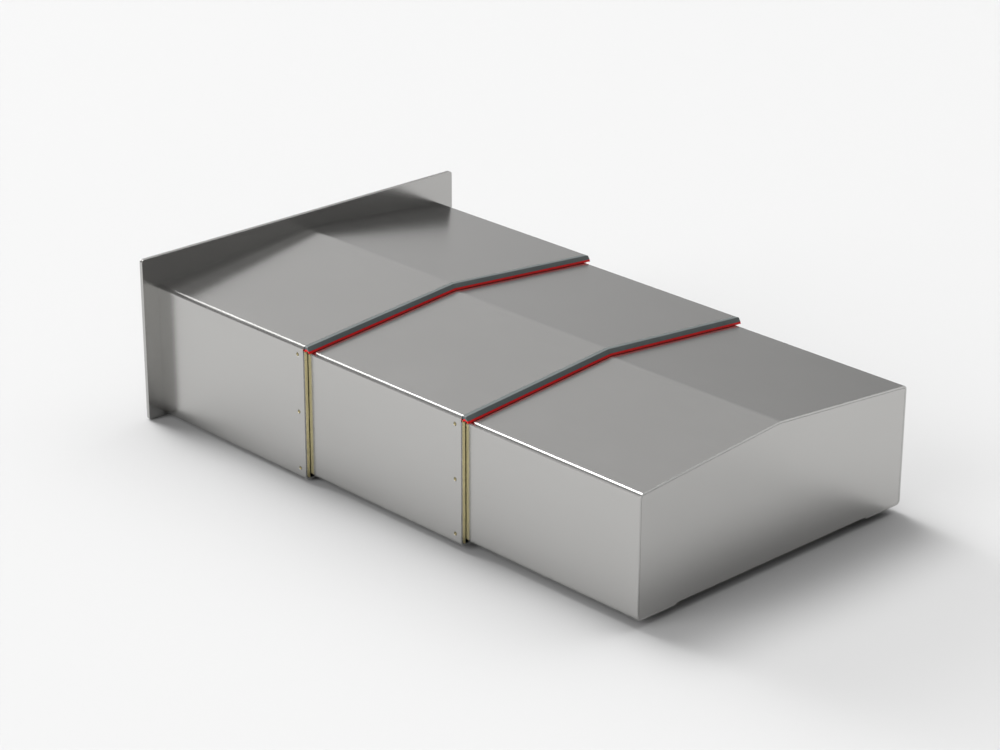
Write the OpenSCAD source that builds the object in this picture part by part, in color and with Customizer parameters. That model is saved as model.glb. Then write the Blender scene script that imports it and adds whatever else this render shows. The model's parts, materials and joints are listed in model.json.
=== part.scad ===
// Telescopic way cover: three nested gable-roofed sheet metal boxes on a mounting plate.
// Millimetres. X runs along the travel, from the mounting plate (-X) to the front panel (+X).
// Y runs across the cover, which is symmetric about Y = 0. Z is up, and Z = 0 is the lowest edge
// of the mounting plate. X = 0 is midway between the plate's rear face and the front panel.
// Left is the -Y side, as seen by someone who faces the front panel.

/* [Overall] */
// length from the plate's rear face to the front panel, as drawn out
total_l = 1000; // [700:1:1400]
// seen length of the outer box
outer_l = 341; // [200:1:500]
// seen length of the middle box
middle_l = 324; // [200:1:500]
// length of an inner box that stays inside the next larger one
overlap_l = 47; // [40:1:120]

/* [Boxes] */
// outside width of the outer box
box_w = 572; // [300:1:900]
// height of the outer box's eave above its bottom
eave_h = 210; // [120:1:350]
// height of the outer box's bottom above the plate's lowest edge
box_z = 3; // [0:0.5:20]
// roof slope to each side, degrees
roof_pitch = 5; // [1:0.5:15]
// sheet thickness
sheet_t = 3; // [1.5:0.5:4]
// outside radius of the bends at the eaves and bottom edges
bend_r = 7; // [4:0.5:12]
// outside radius of the fold along the ridge
ridge_r = 30; // [10:1:60]
// each inner box is narrower than the next by this much a side
step_side = 9; // [6:0.5:15]
// each inner roof is lower than the next by this much
step_top = 9; // [6:0.5:15]
// each inner bottom is higher than the next by this much
step_bottom = 4.5; // [3.5:0.5:8]
// clear width between the bottom flanges
flange_gap_w = 387; // [150:1:600]

/* [Mounting plate] */
// plate width
plate_w = 628; // [400:1:1000]
// plate height
plate_h = 260; // [180:1:400]
// plate thickness
plate_t = 6; // [4:0.5:12]
// corner radius
plate_r = 5; // [1:0.5:20]
// width of the cut-out for the ways
way_w = 400; // [200:1:500]
// height of the cut-out for the ways
way_h = 130; // [60:1:180]
// spacing of the bolt holes across
bolt_y = 480; // [300:1:800]
// spacing of the bolt holes in height
bolt_z = 130; // [60:1:180]
// height of the lower bolt holes
bolt_z0 = 45; // [20:1:100]
// bolt hole diameter
bolt_d = 9; // [5:0.5:14]

/* [Wipers] */
// how far the carrier stands out in front of the roof
wiper_x = 10.3; // [8:0.1:16]
// length of the flat top of the carrier
wiper_top_x = 6.6; // [4:0.1:9]
// depth of the carrier's front lower edge below the roof
wiper_z = 6; // [4:0.1:8]
// length of the tail under the roof sheet
wiper_tail = 16; // [8:0.5:30]
// gap between the lip and the roof below it
lip_gap = 0.3; // [0.1:0.1:1]
// how far the front lip leans out past the carrier
lip_lean = 1; // [0.5:0.1:3]
// bevel under the front lip's wiping edge
lip_bevel = 0.4; // [0.3:0.1:1.5]

/* [Guide strips] */
// strip thickness
guide_t = 5; // [3:0.1:8]
// strip width along the travel
guide_w = 24; // [15:0.5:40]
// rivet head diameter
rivet_head_d = 6; // [4:0.1:8]
// rivet shank diameter
rivet_d = 3.2; // [2.4:0.1:5]
// distance of the rivets behind the front edge
rivet_x = 12; // [8:0.5:25]

/* [Rear walls] */
// width of the opening over the drive
bulkhead_open_w = 250; // [100:1:300]
// top of that opening above the plate's lowest edge
bulkhead_open_z = 150; // [80:1:180]
// height of the rear wall's lower edge over the ways
bulkhead_leg_z = 26; // [18:0.5:60]
// half width out to which the lower edge is raised over the ways
bulkhead_leg_y = 190; // [120:1:220]

/* [Slide shoes] */
// height of the sliding face
shoe_z = 20; // [12:0.5:50]
// shoe size along the travel
shoe_l = 20; // [12:0.5:40]
// shoe size across
shoe_w = 40; // [20:0.5:60]
// shoe size in height
shoe_h = 30; // [15:0.5:60]
// distance of the shoe centre from the middle of the cover
shoe_y = 160; // [80:1:220]

/* [Buffers and stops] */
// buffer diameter
buffer_d = 20; // [10:0.5:40]
// buffer length
buffer_l = 22; // [12:0.5:40]
// distance of the buffers from the middle of the cover
buffer_y = 240; // [150:1:260]
// height of the middle box's buffers
buffer_z_middle = 110; // [60:1:160]
// height of the front box's buffers
buffer_z_front = 142; // [60:1:160]
// stop block length along the travel
stop_l = 20; // [10:0.5:40]
// stop block width
stop_w = 44; // [20:0.5:80]
// stop block height
stop_h = 5.8; // [3:0.1:8]
// distance of the stop blocks from the ridge
stop_y = 150; // [50:1:220]

/* [Hidden] */
e = 0.01;
c_sheet = [0.74, 0.74, 0.73];
c_plate = [0.70, 0.70, 0.69];
c_brass = [0.76, 0.66, 0.38];
c_dark = [0.16, 0.17, 0.17];
c_red = [0.72, 0.07, 0.06];
c_rubber = [0.08, 0.08, 0.08];
c_zinc = [0.66, 0.67, 0.68];
c_shoe = [0.20, 0.30, 0.22];

x_rear = -total_l / 2;                       // rear face of the plate
x_plate = x_rear + plate_t;                  // front face of the plate
x1 = x_plate + outer_l;                      // front edge of the outer box
x2 = x1 + middle_l;                          // front edge of the middle box
x3 = total_l / 2;                            // front edge of the front box
x2r = x1 - overlap_l;                        // rear edge of the middle box
x3r = x2 - overlap_l;                        // rear edge of the front box

tp = tan(roof_pitch);
cp = cos(roof_pitch);
// half width, bottom height and eave height of box n, counted 0, 1, 2 from the largest
function hw(n) = box_w / 2 - n * step_side;
function zb(n) = box_z + n * step_bottom;
function ze(n) = box_z + eave_h - n * step_top;
function zr(n) = ze(n) + hw(n) * tp;
// half width, floor and eave height of the space inside box n
function hwi(n) = hw(n) - sheet_t;
function zbi(n) = zb(n) + sheet_t;
function zei(n) = ze(n) - sheet_t / cp + sheet_t * tp;

// ---- helpers ----

// stands a cross-section drawn as (Y, Z) up at X = x and gives it the length l along +X
module along_x(x, l) {
    translate([x, 0, 0]) rotate([90, 0, 90]) linear_extrude(height = l) children();
}

// stands a side view drawn as (X, Z) up, from Y = y over the width w along +Y
module along_y(y, w) {
    translate([0, y + w, 0]) rotate([90, 0, 0]) linear_extrude(height = w) children();
}

// gabled outline with true arcs at the eaves, the ridge and the bottom edges
module gable(h, b, z, r, rr) {
    t = r * tan((90 - roof_pitch) / 2);
    tr = rr * tan(roof_pitch);
    top = z + h * tp;
    union() {
        polygon([[-h, b + r], [-h + r, b], [h - r, b], [h, b + r],
                 [h, z - t], [h - t * cp, z + t * roof_sin()],
                 [tr * cp, top - tr * roof_sin()], [-tr * cp, top - tr * roof_sin()],
                 [-h + t * cp, z + t * roof_sin()], [-h, z - t]]);
        for (s = [-1, 1]) {
            translate([s * (h - r), z - t]) circle(r = r, $fn = 64);
            translate([s * (h - r), b + r]) circle(r = r, $fn = 64);
        }
        translate([0, top - rr / cp]) circle(r = rr, $fn = 128);
    }
}
function roof_sin() = sin(roof_pitch);

module outside(n) gable(hw(n), zb(n), ze(n), bend_r, ridge_r);
module inside(n) gable(hwi(n), zbi(n), zei(n), bend_r - sheet_t, ridge_r - sheet_t);

// rectangle with round corners
module soft_rect(w, h, r) {
    union() {
        translate([-w / 2 + r, 0]) square([w - 2 * r, h]);
        translate([-w / 2, r]) square([w, h - 2 * r]);
        for (s = [-1, 1]) for (z = [r, h - r]) translate([s * (w / 2 - r), z]) circle(r = r, $fn = 48);
    }
}

// bent sheet of box n from x over the length l
module box_sheet(n, x, l, rivets) {
    difference() {
        along_x(x, l) difference() {
            outside(n);
            inside(n);
            translate([-flange_gap_w / 2, zb(n) - 1]) square([flange_gap_w, sheet_t + 2]);
        }
        if (rivets)
            for (s = [-1, 1]) for (z = rivet_zs(n))
                translate([x + l - rivet_x, s * hw(n), z]) rotate([s * 90, 0, 0]) rivet_hole();
    }
}

// heights of the three rivets on each side of box n
function rivet_zs(n) = let (a = zbi(n) + 13.5, b = ze(n) - 15) [a, (a + b) / 2, b];

// countersunk through hole for a rivet, its head end at Z = 0 and pointing to -Z as the axis runs inwards
module rivet_hole() {
    translate([0, 0, -0.5]) cylinder(h = 0.5 + e, r = rivet_head_d / 2 + 0.05, $fn = 48);
    cylinder(h = 1.4, r1 = rivet_head_d / 2 + 0.05, r2 = rivet_d / 2 + 0.05, $fn = 48);
    translate([0, 0, 1]) cylinder(h = sheet_t + guide_t, r = rivet_d / 2 + 0.05, $fn = 48);
    translate([0, 0, sheet_t + guide_t - 1.2]) cylinder(h = 1.2 + e, r1 = rivet_d / 2 + 0.05, r2 = rivet_d / 2 + 1.05, $fn = 48);
}

// countersunk rivet with a dished head and a spread tail, along +Z from the head
module rivet() {
    difference() {
        union() {
            translate([0, 0, 0.1]) cylinder(h = 1.3, r1 = rivet_head_d / 2 - 0.1, r2 = rivet_d / 2, $fn = 48);
            translate([0, 0, 1]) cylinder(h = sheet_t + guide_t - 1.3, r = rivet_d / 2, $fn = 48);
            translate([0, 0, sheet_t + guide_t - 1.2]) cylinder(h = 1.0, r1 = rivet_d / 2, r2 = rivet_d / 2 + 0.85, $fn = 48);
        }
        translate([0, 0, -3.5]) sphere(r = 4.4, $fn = 64);
    }
}

// ---- wipers ----

// section of the carrier, X from the roof's front edge and Z from the roof surface
module carrier_section() {
    polygon([[-wiper_tail, -sheet_t], [0, -sheet_t], [0, -0.2], [wiper_top_x, -0.2], [wiper_x, -wiper_z],
             [wiper_x - 2, -wiper_z - 0.2], [4.2, -3.9], [1.0, -5.6], [-wiper_tail, -5.6]]);
}

// distance between the roof surfaces of one box and the next, square to the slope
function roof_step() = (step_top + step_side * tp) * cp;

// section of the lip: a foot under the carrier, a front lip that leans forwards to a bevelled wiping edge and a
// shorter rear lip
module lip_section() {
    zl = -roof_step() + lip_gap;
    polygon([[4.2, -3.9], [wiper_x - 2, -wiper_z - 0.2], [wiper_x - 0.1, -wiper_z - 0.01],
             [wiper_x + lip_lean, zl + lip_bevel], [wiper_x + lip_lean - lip_bevel, zl],
             [wiper_x + lip_lean - lip_bevel - 0.6, zl], [wiper_x - 2.4, -7.4], [4.4, -6.4],
             [2.0, -7.6], [1.1, zl + 0.2], [0.4, zl + 0.2], [0.6, -7.0], [1.0, -5.6]]);
}

// a roof strip of box n with its front edge at x: the section runs along both slopes and meets at the ridge
module roof_strip(n, x) {
    h = hwi(n);
    intersection() {
        union() for (s = [-1, 1])
            intersection() {
                translate([x, 0, zr(n)]) rotate([-s * roof_pitch, 0, 0]) along_y(s > 0 ? -20 : -h - 20, h + 40) children();
                translate([x - 100, s > 0 ? 0 : -h, zr(n) - 100]) cube([200, h, 150]);
            }
        union() {
            along_x(x - 50, 50) inside(n);
            along_x(x, 50) outside(n);
        }
    }
}

module wiper_carrier(n, x) roof_strip(n, x) carrier_section();
module wiper_lip(n, x) roof_strip(n, x) lip_section();

// ---- guide strips ----

// strip on the side wall, its lower outer edge chamfered clear of the bottom bend
module guide(n, x, s) {
    h = hwi(n);
    z0 = zbi(n) + 0.5;
    z1 = ze(n) - 6.6;
    rb = bend_r - sheet_t;
    difference() {
        along_x(x - guide_w, guide_w) polygon([[s * (h - guide_t), z0], [s * (h - guide_t), z1], [s * h, z1],
                                               [s * h, zbi(n) + rb + 0.2], [s * (h - 0.6 * rb), z0]]);
        for (z = rivet_zs(n)) translate([x - rivet_x, s * hw(n), z]) rotate([s * 90, 0, 0]) rivet_hole();
        // lead-in at the rear edge of the sliding face
        translate([x - guide_w, s * (hwi(n) - guide_t), z0 - 1]) rotate([0, 0, 45]) translate([-1, -1, 0]) cube([2, 2, z1 - z0 + 2]);
    }
}

module guide_rivets(n, x) {
    for (s = [-1, 1]) for (z = rivet_zs(n)) translate([x - rivet_x, s * hw(n), z]) rotate([s * 90, 0, 0]) rivet();
}

// ---- rear walls and what they carry ----

module bulkhead(n, x, bz) {
    difference() {
        along_x(x, sheet_t) difference() {
            inside(n);
            translate([0, bulkhead_leg_z - 200]) translate([-bulkhead_leg_y, 0]) square([2 * bulkhead_leg_y, 200]);
            translate([0, bulkhead_leg_z - 40]) soft_rect(bulkhead_open_w, bulkhead_open_z - bulkhead_leg_z + 40, 20);
        }
        for (s = [-1, 1]) {
            for (d = [-1, 1]) translate([x - e, s * shoe_y + d * 10, shoe_z + 16]) rotate([0, 90, 0]) {
                cylinder(h = sheet_t + 1, r = 2.6, $fn = 48);
                cylinder(h = 2.6, r1 = 5.1, r2 = 2.5, $fn = 48);
            }
            translate([x - 1, s * buffer_y, bz]) rotate([0, 90, 0]) cylinder(h = sheet_t + 2, r = 3.2, $fn = 48);
        }
    }
}

// slide shoe in front of the rear wall, its lower edges chamfered along the travel
module shoe(x, s) {
    difference() {
        translate([x + sheet_t, s * shoe_y, shoe_z])
            rotate([90, 0, 0]) translate([0, 0, -shoe_w / 2]) linear_extrude(height = shoe_w)
                polygon([[0, 3], [3, 0], [shoe_l - 3, 0], [shoe_l, 3], [shoe_l, shoe_h], [0, shoe_h]]);
        for (d = [-1, 1]) translate([x + sheet_t - 1, s * shoe_y + d * 10, shoe_z + 16]) rotate([0, 90, 0])
            cylinder(h = 14, r = 2.55, $fn = 48);
    }
}

// countersunk hexagon socket screws that hold the shoes, driven from behind
module shoe_screws(x) {
    for (s = [-1, 1]) for (d = [-1, 1]) translate([x, s * shoe_y + d * 10, shoe_z + 16]) rotate([0, 90, 0])
        difference() {
            union() {
                translate([0, 0, 0.1]) cylinder(h = 2.45, r1 = 4.9, r2 = 2.5, $fn = 48);
                translate([0, 0, 1]) cylinder(h = sheet_t + 10, r = 2.5, $fn = 48);
            }
            translate([0, 0, -1]) cylinder(h = 3, r = 1.74, $fn = 6);
        }
}

// rubber buffer behind the rear wall, with a hollow for its stud plate
module buffer(x, s, bz) {
    translate([x, s * buffer_y, bz]) rotate([0, -90, 0]) difference() {
        union() {
            cylinder(h = buffer_l - 6, r = buffer_d / 2, $fn = 64);
            translate([0, 0, buffer_l - 6]) cylinder(h = 6, r1 = buffer_d / 2, r2 = buffer_d / 2 - 4, $fn = 64);
        }
        translate([0, 0, -1]) cylinder(h = 3, r = 8, $fn = 64);
    }
}

// disc and stud of a buffer, the disc let into the rubber and the stud through the rear wall
module buffer_studs(x, bz) {
    for (s = [-1, 1]) translate([x, s * buffer_y, bz]) {
        rotate([0, -90, 0]) cylinder(h = 2, r = 8, $fn = 64);
        translate([-e, 0, 0]) rotate([0, 90, 0]) cylinder(h = 12, r = 3, $fn = 48);
    }
}

module buffer_nuts(x, bz) {
    for (s = [-1, 1]) translate([x + sheet_t, s * buffer_y, bz]) rotate([0, 90, 0]) difference() {
        cylinder(h = 5, r = 5.77, $fn = 6);
        translate([0, 0, -1]) cylinder(h = 7, r = 3.05, $fn = 48);
    }
}

// brass stop block on the roof's rear edge, which also keeps the roofs apart
module stop_block(n, x, s) {
    translate([x, 0, zr(n)]) rotate([-s * roof_pitch, 0, 0])
        translate([0, s * stop_y - stop_w / 2, 0]) rotate([90, 0, 0]) translate([0, 0, -stop_w]) linear_extrude(height = stop_w)
            polygon([[0, 0], [stop_l, 0], [stop_l, stop_h], [2, stop_h], [0, stop_h - 2]]);
}

// ---- the pieces ----

module mounting_plate() color(c_plate)
    difference() {
        along_x(x_rear, plate_t) difference() {
            soft_rect(plate_w, plate_h, plate_r);
            translate([0, -60]) soft_rect(way_w, way_h + 60, 20);
        }
        for (s = [-1, 1]) for (z = [bolt_z0, bolt_z0 + bolt_z])
            translate([x_rear - 1, s * bolt_y / 2, z]) rotate([0, 90, 0]) cylinder(h = plate_t + 2, r = bolt_d / 2, $fn = 64);
    }

module outer_box() color(c_sheet) box_sheet(0, x_plate, outer_l, true);
module outer_wiper_carrier() color(c_dark) wiper_carrier(0, x1);
module outer_wiper_lip() color(c_red) wiper_lip(0, x1);
module outer_guide_left() color(c_brass) guide(0, x1, -1);
module outer_guide_right() color(c_brass) guide(0, x1, 1);
module outer_guide_rivets() color(c_brass) guide_rivets(0, x1);

module middle_box() color(c_sheet) box_sheet(1, x2r, x2 - x2r, true);
module middle_wiper_carrier() color(c_dark) wiper_carrier(1, x2);
module middle_wiper_lip() color(c_red) wiper_lip(1, x2);
module middle_guide_left() color(c_brass) guide(1, x2, -1);
module middle_guide_right() color(c_brass) guide(1, x2, 1);
module middle_guide_rivets() color(c_brass) guide_rivets(1, x2);
module middle_bulkhead() color(c_sheet) bulkhead(1, x2r, buffer_z_middle);
module middle_shoe_left() color(c_shoe) shoe(x2r, -1);
module middle_shoe_right() color(c_shoe) shoe(x2r, 1);
module middle_shoe_screws() color(c_zinc) shoe_screws(x2r);
module middle_buffer_left() color(c_rubber) buffer(x2r, -1, buffer_z_middle);
module middle_buffer_right() color(c_rubber) buffer(x2r, 1, buffer_z_middle);
module middle_buffer_studs() color(c_zinc) buffer_studs(x2r, buffer_z_middle);
module middle_buffer_nuts() color(c_zinc) buffer_nuts(x2r, buffer_z_middle);
module middle_stop_left() color(c_brass) stop_block(1, x2r, -1);
module middle_stop_right() color(c_brass) stop_block(1, x2r, 1);

module front_box() color(c_sheet) box_sheet(2, x3r, x3 - x3r, false);
module front_panel() color(c_sheet)
    along_x(x3 - sheet_t, sheet_t) gable(hwi(2) - 0.3, zbi(2), zei(2) - 0.3, bend_r - sheet_t, ridge_r - sheet_t);
module front_bulkhead() color(c_sheet) bulkhead(2, x3r, buffer_z_front);
module front_shoe_left() color(c_shoe) shoe(x3r, -1);
module front_shoe_right() color(c_shoe) shoe(x3r, 1);
module front_shoe_screws() color(c_zinc) shoe_screws(x3r);
module front_buffer_left() color(c_rubber) buffer(x3r, -1, buffer_z_front);
module front_buffer_right() color(c_rubber) buffer(x3r, 1, buffer_z_front);
module front_buffer_studs() color(c_zinc) buffer_studs(x3r, buffer_z_front);
module front_buffer_nuts() color(c_zinc) buffer_nuts(x3r, buffer_z_front);
module front_stop_left() color(c_brass) stop_block(2, x3r, -1);
module front_stop_right() color(c_brass) stop_block(2, x3r, 1);

mounting_plate();
outer_box();
outer_wiper_carrier();
outer_wiper_lip();
outer_guide_left();
outer_guide_right();
outer_guide_rivets();
middle_box();
middle_wiper_carrier();
middle_wiper_lip();
middle_guide_left();
middle_guide_right();
middle_guide_rivets();
middle_bulkhead();
middle_shoe_left();
middle_shoe_right();
middle_shoe_screws();
middle_buffer_left();
middle_buffer_right();
middle_buffer_studs();
middle_buffer_nuts();
middle_stop_left();
middle_stop_right();
front_box();
front_panel();
front_bulkhead();
front_shoe_left();
front_shoe_right();
front_shoe_screws();
front_buffer_left();
front_buffer_right();
front_buffer_studs();
front_buffer_nuts();
front_stop_left();
front_stop_right();
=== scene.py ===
import json
import math

import bmesh
import bpy
from mathutils import Matrix, Vector

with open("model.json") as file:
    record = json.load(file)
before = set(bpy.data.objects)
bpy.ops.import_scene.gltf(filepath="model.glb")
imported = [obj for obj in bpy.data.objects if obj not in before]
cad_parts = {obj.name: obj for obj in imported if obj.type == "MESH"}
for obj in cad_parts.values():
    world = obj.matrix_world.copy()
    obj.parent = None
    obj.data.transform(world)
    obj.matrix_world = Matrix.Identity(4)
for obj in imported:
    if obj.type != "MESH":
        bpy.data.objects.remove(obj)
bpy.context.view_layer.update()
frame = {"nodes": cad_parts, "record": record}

NODES = frame["nodes"]
scene = bpy.context.scene
scene.view_settings.view_transform = "Standard"
scene.view_settings.look = "None"
scene.cycles.caustics_reflective = False   # no glare patterns thrown on the studio floor


# ---------------------------------------------------------------- node helpers
class Tree:
    """A material's node tree with short ways to add and join nodes."""

    def __init__(self, name):
        self.mat = bpy.data.materials.new(name)
        self.mat.use_nodes = True
        self.t = self.mat.node_tree
        self.t.nodes.clear()
        self.out = self.t.nodes.new("ShaderNodeOutputMaterial")
        self.bsdf = self.t.nodes.new("ShaderNodeBsdfPrincipled")
        self.link(self.bsdf.outputs["BSDF"], self.out.inputs["Surface"])
        self.pos = self.t.nodes.new("ShaderNodeTexCoord").outputs["Object"]

    def link(self, a, b):
        self.t.links.new(a, b)

    def put(self, **values):
        for key, value in values.items():
            self.bsdf.inputs[key.replace("_", " ")].default_value = value

    def math(self, op, a, b=None, clamp=False):
        n = self.t.nodes.new("ShaderNodeMath")
        n.operation = op
        n.use_clamp = clamp
        for i, v in enumerate((a, b)):
            if v is None:
                continue
            if isinstance(v, (int, float)):
                n.inputs[i].default_value = v
            else:
                self.link(v, n.inputs[i])
        return n.outputs[0]

    def scaled(self, scale, turn=(0, 0, 0), shift=(0, 0, 0)):
        n = self.t.nodes.new("ShaderNodeMapping")
        n.inputs["Scale"].default_value = scale
        n.inputs["Rotation"].default_value = turn
        n.inputs["Location"].default_value = shift
        self.link(self.pos, n.inputs["Vector"])
        return n.outputs[0]

    def noise(self, scale, detail=2.0, rough=0.5, vector=None, distortion=0.0):
        n = self.t.nodes.new("ShaderNodeTexNoise")
        n.inputs["Scale"].default_value = scale
        n.inputs["Detail"].default_value = detail
        n.inputs["Roughness"].default_value = rough
        n.inputs["Distortion"].default_value = distortion
        self.link(self.pos if vector is None else vector, n.inputs["Vector"])
        return n.outputs["Fac"]

    def span(self, value, lo, hi, to_lo=0.0, to_hi=1.0, smooth=True):
        n = self.t.nodes.new("ShaderNodeMapRange")
        n.interpolation_type = "SMOOTHSTEP" if smooth else "LINEAR"
        n.inputs["From Min"].default_value = lo
        n.inputs["From Max"].default_value = hi
        n.inputs["To Min"].default_value = to_lo
        n.inputs["To Max"].default_value = to_hi
        self.link(value, n.inputs["Value"])
        return n.outputs["Result"]

    def mix(self, fac, a, b):
        n = self.t.nodes.new("ShaderNodeMix")
        n.data_type = "RGBA"
        for i, v in ((0, fac), (6, a), (7, b)):
            if isinstance(v, (int, float)):
                n.inputs[i].default_value = v
            elif isinstance(v, (tuple, list)):
                n.inputs[i].default_value = (*v[:3], 1.0)
            else:
                self.link(v, n.inputs[i])
        return n.outputs[2]

    def bump(self, height, strength, distance, normal=None):
        n = self.t.nodes.new("ShaderNodeBump")
        n.inputs["Strength"].default_value = strength
        n.inputs["Distance"].default_value = distance
        self.link(height, n.inputs["Height"])
        if normal is not None:
            self.link(normal, n.inputs["Normal"])
        return n.outputs["Normal"]

    def edges(self, radius, lo=0.02, hi=0.25):
        """0 on flat and gently curved faces, rising to 1 at a sharp corner. Leaves the corner's rounded normal in soft."""
        b = self.t.nodes.new("ShaderNodeBevel")
        b.samples = 6
        b.inputs["Radius"].default_value = radius
        self.soft = b.outputs["Normal"]
        g = self.t.nodes.new("ShaderNodeNewGeometry")
        d = self.t.nodes.new("ShaderNodeVectorMath")
        d.operation = "DOT_PRODUCT"
        self.link(self.soft, d.inputs[0])
        self.link(g.outputs["Normal"], d.inputs[1])
        return self.span(self.math("SUBTRACT", 1.0, d.outputs["Value"]), lo, hi)

    def to(self, socket, value):
        self.link(value, self.bsdf.inputs[socket])


def shades(base, low, high):
    return tuple(c * low for c in base), tuple(min(1.0, c * high) for c in base)


def along(axis, length, width):
    """Noise scale for lines that run along one axis: their length and width in metres."""
    return tuple(1.0 / length if a == axis else 1.0 / width for a in "xyz")


def steel(name, grain, base, rough):
    """Satin stainless sheet: fine grain along the rolling direction, soft clouds, handling marks, burnished edges."""
    m = Tree(name)
    fine = m.noise(1.0, 3.0, 0.55, m.scaled(along(grain, 0.07, 0.0007)))
    cloud = m.noise(4.0, 3.0, 0.55)
    smudge = m.noise(14.0, 2.0, 0.6, distortion=0.6)
    scratch = m.noise(1.0, 2.0, 0.7, m.scaled(along(grain, 0.11, 0.0013), (0.0, 0.03, 0.02), (0.3, 0.7, 0.1)))
    tone = m.math("ADD", m.math("MULTIPLY", fine, 0.7), m.math("MULTIPLY", cloud, 0.3))
    body = m.mix(m.span(tone, 0.3, 0.7, smooth=False), *shades(base, 0.97, 1.03))
    worn = m.edges(0.0006)
    m.to("Base Color", m.mix(m.math("MULTIPLY", worn, 0.35), body, shades(base, 1.0, 1.18)[1]))
    r = m.span(fine, 0.3, 0.7, rough - 0.015, rough + 0.015)
    r = m.math("ADD", r, m.math("MULTIPLY", m.span(smudge, 0.5, 0.72), 0.012))
    r = m.math("SUBTRACT", r, m.math("MULTIPLY", m.span(scratch, 0.74, 0.8), 0.03))
    m.to("Roughness", m.math("SUBTRACT", r, m.math("MULTIPLY", worn, 0.04)))
    m.to("Normal", m.bump(fine, 0.03, 0.0001, m.soft))
    m.put(Metallic=1.0)
    return m.mat


def brass(name, base, rough, grain="z"):
    """Drawn brass: lines along the bar, patches of tarnish, brighter rubbed edges."""
    m = Tree(name)
    lines = m.noise(1.0, 3.0, 0.6, m.scaled(along(grain, 0.05, 0.0005)))
    dull = m.span(m.noise(30.0, 4.0, 0.6, distortion=0.4), 0.35, 0.7)
    clean = m.mix(m.span(lines, 0.3, 0.7, smooth=False), *shades(base, 0.93, 1.06))
    aged = m.mix(m.math("MULTIPLY", dull, 0.22), clean, (base[0] * 0.80, base[1] * 0.80, base[2] * 0.86))
    worn = m.edges(0.0005)
    m.to("Base Color", m.mix(m.math("MULTIPLY", worn, 0.25), aged, shades(base, 1.0, 1.08)[1]))
    r = m.math("ADD", m.span(lines, 0.3, 0.7, rough - 0.03, rough + 0.03), m.math("MULTIPLY", dull, 0.06))
    m.to("Roughness", r)
    m.to("Normal", m.bump(lines, 0.05, 0.0001, m.soft))
    m.put(Metallic=1.0)
    return m.mat


def coating(name, base, rough, edge, peel=1.0):
    """Baked coating: fine orange peel, dust in the lows, rubbed lighter along the edges."""
    m = Tree(name)
    skin = m.noise(700.0, 3.0, 0.55)
    dust = m.span(m.noise(22.0, 4.0, 0.6), 0.45, 0.75)
    body = m.mix(m.span(skin, 0.3, 0.7, smooth=False), *shades(base, 0.92, 1.08))
    body = m.mix(m.math("MULTIPLY", dust, 0.10), body, (0.30, 0.30, 0.29))
    chip = m.span(m.noise(160.0, 3.0, 0.65), 0.42, 0.62)
    worn = m.math("MULTIPLY", m.edges(0.0004), chip)
    m.to("Base Color", m.mix(m.math("MULTIPLY", worn, 0.5), body, edge))
    m.to("Roughness", m.math("ADD", m.span(skin, 0.3, 0.7, rough - 0.03, rough + 0.03), m.math("MULTIPLY", dust, 0.08)))
    m.to("Normal", m.bump(skin, 0.10 * peel, 0.0002, m.soft))
    return m.mat


def polyurethane(name, base, rough):
    """Cast wiper rubber: even colour with faint streaks, scuffed and chalky where it rubs the roof."""
    m = Tree(name)
    flow = m.noise(1.0, 3.0, 0.5, m.scaled((90.0, 9.0, 260.0)))
    body = m.mix(m.span(flow, 0.3, 0.7), *shades(base, 0.90, 1.08))
    scuff = m.math("MULTIPLY", m.edges(0.0004), m.span(m.noise(300.0, 3.0, 0.6), 0.4, 0.65))
    m.to("Base Color", m.mix(m.math("MULTIPLY", scuff, 0.25), body, (0.85, 0.20, 0.17)))
    m.to("Roughness", m.span(flow, 0.3, 0.7, rough - 0.06, rough + 0.06))
    m.to("Normal", m.bump(m.noise(1200.0, 2.0), 0.06, 0.0001, m.soft))
    m.put(Specular_IOR_Level=0.3)
    return m.mat


def plastic(name, base, rough):
    """Machined sliding plastic: feed lines of the cutter across the run, rubbed bright patches."""
    m = Tree(name)
    feed = m.noise(1.0, 2.0, 0.5, m.scaled(along("y", 0.03, 0.0006)))
    rub = m.span(m.noise(35.0, 4.0, 0.6), 0.4, 0.7)
    body = m.mix(m.span(feed, 0.3, 0.7), *shades(base, 0.85, 1.15))
    m.to("Base Color", m.mix(m.math("MULTIPLY", m.edges(0.0005), 0.4), body, shades(base, 1.0, 2.2)[1]))
    m.to("Roughness", m.math("SUBTRACT", m.span(feed, 0.3, 0.7, rough - 0.04, rough + 0.05), m.math("MULTIPLY", rub, 0.10)))
    m.to("Normal", m.bump(feed, 0.12, 0.0002, m.soft))
    return m.mat


def moulded_rubber(name, base, rough):
    """Moulded rubber: speckled, with a pale bloom."""
    m = Tree(name)
    speck = m.noise(1600.0, 3.0, 0.6)
    bloom = m.span(m.noise(60.0, 4.0, 0.6), 0.45, 0.75)
    body = m.mix(m.span(speck, 0.35, 0.65), *shades(base, 0.75, 1.3))
    m.to("Base Color", m.mix(m.math("MULTIPLY", bloom, 0.3), body, (0.10, 0.10, 0.10)))
    m.to("Roughness", m.span(bloom, 0.0, 1.0, rough - 0.08, rough + 0.1))
    m.to("Normal", m.bump(speck, 0.2, 0.0002))
    return m.mat


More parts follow.
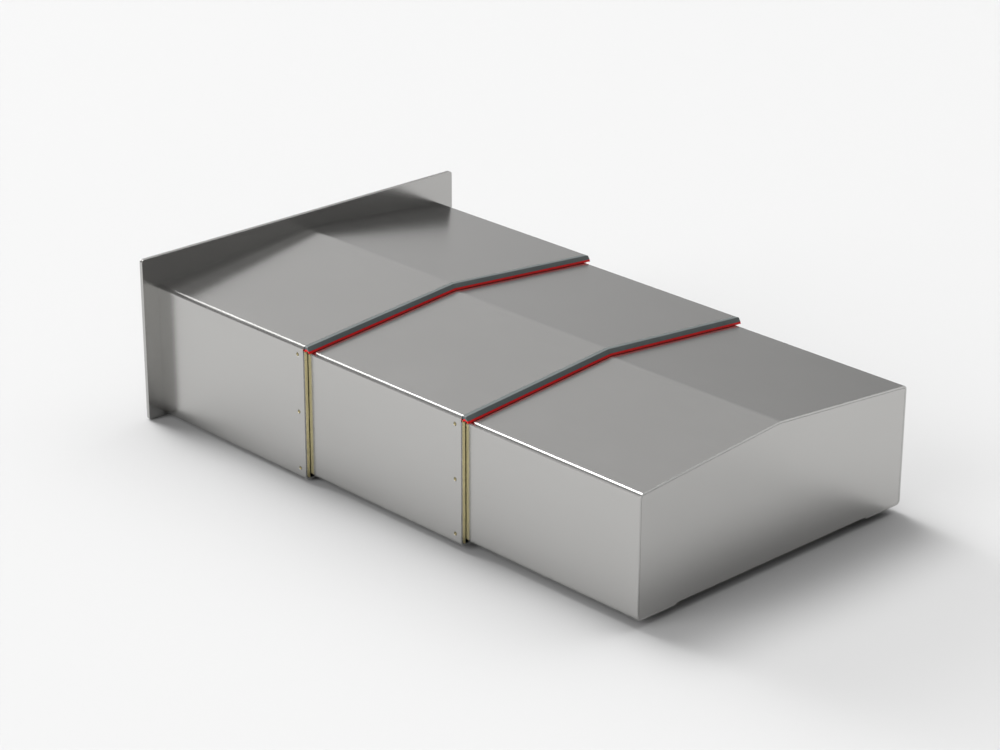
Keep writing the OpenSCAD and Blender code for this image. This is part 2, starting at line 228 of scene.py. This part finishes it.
def zinc(name, base, rough):
    """Bright zinc plating: faint blue and straw tints, small dull spots."""
    m = Tree(name)
    tint = m.span(m.noise(70.0, 3.0, 0.5), 0.35, 0.65)
    spot = m.span(m.noise(420.0, 3.0, 0.6), 0.6, 0.72)
    body = m.mix(tint, (base[0] * 0.97, base[1], base[2] * 1.05), (base[0] * 1.05, base[1] * 1.02, base[2] * 0.93))
    m.to("Base Color", m.mix(m.math("MULTIPLY", spot, 0.3), body, shades(base, 0.7, 1.0)[0]))
    m.to("Roughness", m.math("ADD", m.span(tint, 0.0, 1.0, rough - 0.03, rough + 0.03), m.math("MULTIPLY", spot, 0.12)))
    m.to("Normal", m.bump(m.noise(900.0, 2.0), 0.05, 0.0001))
    m.put(Metallic=1.0)
    return m.mat


ROUGH = 0.215
STEEL = (0.50, 0.495, 0.483)
SHEET = steel("sheet_satin_steel", "x", STEEL, ROUGH)
PANEL = steel("panel_satin_steel", "y", STEEL, ROUGH)
PLATE = steel("plate_satin_steel", "y", (0.47, 0.465, 0.454), ROUGH)
CARRIER = coating("carrier_dark_coating", (0.10, 0.115, 0.115), 0.42, (0.32, 0.33, 0.33))
LIP = polyurethane("lip_red_polyurethane", (0.95, 0.017, 0.017), 0.6)
BRASS = brass("drawn_brass", (0.90, 0.80, 0.44), 0.27)
# Rivet heads: the brass base colour is darkened well below the guide strips' brass. This is painted shade standing in
# for the shade inside the recessed, dished heads.
RIVET = brass("rivet_brass_painted_recess_shade", (0.27, 0.232, 0.125), 0.17, "y")
SHOE = plastic("green_sliding_plastic", (0.03, 0.09, 0.045), 0.45)
RUBBER = moulded_rubber("black_rubber", (0.022, 0.022, 0.022), 0.65)
ZINC = zinc("zinc_plating", (0.62, 0.63, 0.65), 0.25)

SLOT_MATERIAL = {"sheet_steel": SHEET, "plate_steel": PLATE, "wiper_carrier": CARRIER, "wiper_lip": LIP, "brass": BRASS,
                 "shoe_plastic": SHOE, "buffer_rubber": RUBBER, "plated_steel": ZINC}
for part in frame["record"]["subparts"]:
    node = NODES[part["node"]]
    mat = SLOT_MATERIAL[part["material_slot"]]
    for s in node.material_slots:
        s.material = mat
for s in NODES["front_panel"].material_slots:
    s.material = PANEL
for name in ("outer_guide_rivets", "middle_guide_rivets"):
    for s in NODES[name].material_slots:
        s.material = RIVET

# ---------------------------------------------------------------- camera
az, el, roll, focal = math.radians(46.638), math.radians(22.348), math.radians(0.129), 2820.2
back = Vector((math.sin(az) * math.cos(el), -math.cos(az) * math.cos(el), math.sin(el)))
right = (-back).cross(Vector((0, 0, 1))).normalized()
up = right.cross(-back)
right, up = right * math.cos(roll) + up * math.sin(roll), up * math.cos(roll) - right * math.sin(roll)
cam_data = bpy.data.cameras.new("camera")
cam = bpy.data.objects.new("camera", cam_data)
scene.collection.objects.link(cam)
cam_data.sensor_width = 36.0
cam_data.lens = focal * 36.0 / 1000.0
cam_data.clip_start, cam_data.clip_end = 0.05, 200.0
cam.matrix_world = Matrix((
    (right.x, up.x, back.x, 2.7592),
    (right.y, up.y, back.y, -2.64853),
    (right.z, up.z, back.z, 1.70744),
    (0, 0, 0, 1)))
scene.camera = cam

# ---------------------------------------------------------------- floor
bm = bmesh.new()
bmesh.ops.create_circle(bm, cap_ends=True, radius=60.0, segments=96)
mesh = bpy.data.meshes.new("floor")
bm.to_mesh(mesh)
bm.free()
floor = bpy.data.objects.new("floor", mesh)
floor.location = (0, 0, -0.0002)
scene.collection.objects.link(floor)
fm = Tree("pale_floor")
fm.put(Base_Color=(0.583, 0.583, 0.583, 1.0), Roughness=0.9)
fm.bsdf.inputs["Specular IOR Level"].default_value = 0.2
mesh.materials.append(fm.mat)

# ---------------------------------------------------------------- light
# A soft studio: large soft light areas behind the plate, beside it and overhead, a dim fill, a pale backdrop.
world = bpy.data.worlds.new("studio")
scene.world = world
world.use_nodes = True
wt = world.node_tree
wt.nodes.clear()


def wmath(op, a, b=None):
    n = wt.nodes.new("ShaderNodeMath")
    n.operation = op
    for i, v in enumerate((a, b)):
        if isinstance(v, (int, float)):
            n.inputs[i].default_value = v
        elif v is not None:
            wt.links.new(v, n.inputs[i])
    return n.outputs[0]


def softbox(azimuth, tightness, elevation, half_height, strength):
    """A soft light area round one direction (azimuth from +X towards +Y, degrees), fading at its rim."""
    across = wmath("SUBTRACT", wmath("COSINE", wmath("SUBTRACT", w_az, math.radians(azimuth))), 1.0)
    t = wmath("DIVIDE", wmath("SUBTRACT", w_el, math.radians(elevation)), math.radians(half_height))
    t = wmath("MULTIPLY", t, t)
    t = wmath("MULTIPLY", t, t)
    x = wmath("SUBTRACT", wmath("MULTIPLY", across, tightness), t)
    return wmath("MULTIPLY", wmath("EXPONENT", x), strength)


w_xyz = wt.nodes.new("ShaderNodeSeparateXYZ")
wt.links.new(wt.nodes.new("ShaderNodeTexCoord").outputs["Generated"], w_xyz.inputs[0])
w_az = wmath("ARCTAN2", w_xyz.outputs[1], w_xyz.outputs[0])
w_el = wmath("ARCSINE", w_xyz.outputs[2])
SOFTBOXES = [(179.7, 37.2, 10.5, 21.7, 17.8), (172.2, 15.0, 62.8, 14.7, 16.6), (257.0, 20.0, 22.8, 24.1, 5.0),
             (83.5, 6.1, 56.6, 30.4, 2.355), (146.4, 12.4, 14.6, 22.6, 0.573), (310.3, 2.05, 20.0, 40.0, 0.18)]
level = 0.080
for box in SOFTBOXES:
    level = wmath("ADD", softbox(*box), level)
w_bg = wt.nodes.new("ShaderNodeBackground")
w_bg.inputs["Color"].default_value = (1, 1, 1, 1)
wt.links.new(level, w_bg.inputs["Strength"])
w_back = wt.nodes.new("ShaderNodeBackground")
w_back.inputs["Color"].default_value = (1, 1, 1, 1)
w_back.inputs["Strength"].default_value = 0.97
w_mix = wt.nodes.new("ShaderNodeMixShader")
wt.links.new(wt.nodes.new("ShaderNodeLightPath").outputs["Is Camera Ray"], w_mix.inputs[0])
wt.links.new(w_bg.outputs[0], w_mix.inputs[1])
wt.links.new(w_back.outputs[0], w_mix.inputs[2])
w_out = wt.nodes.new("ShaderNodeOutputWorld")
wt.links.new(w_mix.outputs[0], w_out.inputs[0])
